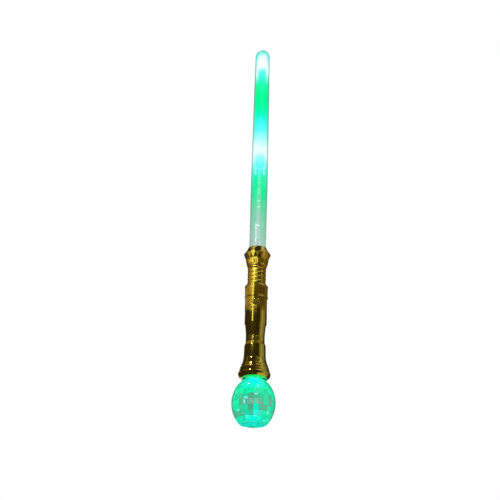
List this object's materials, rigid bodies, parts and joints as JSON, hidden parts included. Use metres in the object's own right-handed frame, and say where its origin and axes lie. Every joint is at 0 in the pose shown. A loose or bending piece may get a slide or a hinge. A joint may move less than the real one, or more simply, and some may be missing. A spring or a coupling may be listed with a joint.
{
  "type": "light-up wand",
  "caption": "Hand-held light-up wand: a clear glowing blade over a gem-cut gold collar, a ribbed and banded gold handle with a push button, and a clear prismatic ball under a flared cup.",
  "frame": {"origin": "centre of the flat under the ball, on which the wand stands", "axes": "+Z along the wand towards the blade's tip, -Y out of the push button, +Y out of the battery door, +X to the right seen from the button's side"},
  "size_m": [0.066, 0.066, 0.6105],
  "materials": {
    "gold_plastic": "vacuum-metallised bright gold",
    "blade_plastic": "clear, lit green-white from inside",
    "ball_plastic": "clear, polished outside and prismatic inside",
    "white_plastic": "matt white",
    "spacer_plastic": "clear",
    "strip_laminate": "white solder mask",
    "green_laminate": "green solder mask",
    "led_body": "clear resin, lit",
    "black_plastic": "matt black",
    "switch_plastic": "satin black",
    "plunger_plastic": "matt white",
    "cell_case": "plain grey sleeve with bright ends",
    "contact_metal": "nickel plated",
    "screw_steel": "zinc plated",
    "red_wire": "red insulation",
    "black_wire": "black insulation"
  },
  "bodies": {
    "handle": {"front_shell": "gold_plastic", "rear_shell": "gold_plastic", "blade_collar": "gold_plastic", "ball_cup": "gold_plastic", "blade_tube": "blade_plastic", "ball_dome_upper": "ball_plastic", "ball_dome_lower": "ball_plastic", "blade_plug": "white_plastic", "strip_spacer": "spacer_plastic", "strip_board": "strip_laminate", "strip_led_base": "led_body", "strip_led_middle": "led_body", "strip_led_tip": "led_body", "ball_led_board": "green_laminate", "ball_led_1": "led_body", "ball_led_2": "led_body", "ball_led_3": "led_body", "control_board": "green_laminate", "control_chip": "black_plastic", "switch_body": "switch_plastic", "contact_carrier_lower": "black_plastic", "contact_carrier_upper": "black_plastic", "contact_negative": "contact_metal", "contact_positive": "contact_metal", "link_plate_lower": "contact_metal", "link_plate_upper": "contact_metal", "contact_spring_1": "contact_metal", "contact_spring_2": "contact_metal", "contact_spring_3": "contact_metal", "battery_1": "cell_case", "battery_2": "cell_case", "battery_3": "cell_case", "shell_screw_lower": "screw_steel", "shell_screw_upper": "screw_steel", "blade_wire_red": "red_wire", "blade_wire_black": "black_wire", "ball_wire_red": "red_wire", "ball_wire_black": "black_wire", "supply_wire_red": "red_wire", "supply_wire_black": "black_wire"},
    "button": {"button_cap": "gold_plastic", "switch_plunger": "plunger_plastic"},
    "battery_door": {"battery_door": "gold_plastic"},
    "door_screw": {"door_screw": "screw_steel"}
  },
  "joints": [
    {"name": "button_press", "type": "slide", "parent": "handle", "child": "button", "axis": [0, 1, 0], "range_m": [0, 0.001], "stiffness_N_per_m": 600},
    {"name": "door_lift", "type": "slide", "parent": "handle", "child": "battery_door", "axis": [0, 1, 0], "range_m": [0, 0.03]},
    {"name": "door_screw_turn", "type": "hinge", "parent": "battery_door", "child": "door_screw", "pos_m": [0, 0.014, 0.1585], "axis": [0, 1, 0], "continuous": true}
  ]
}
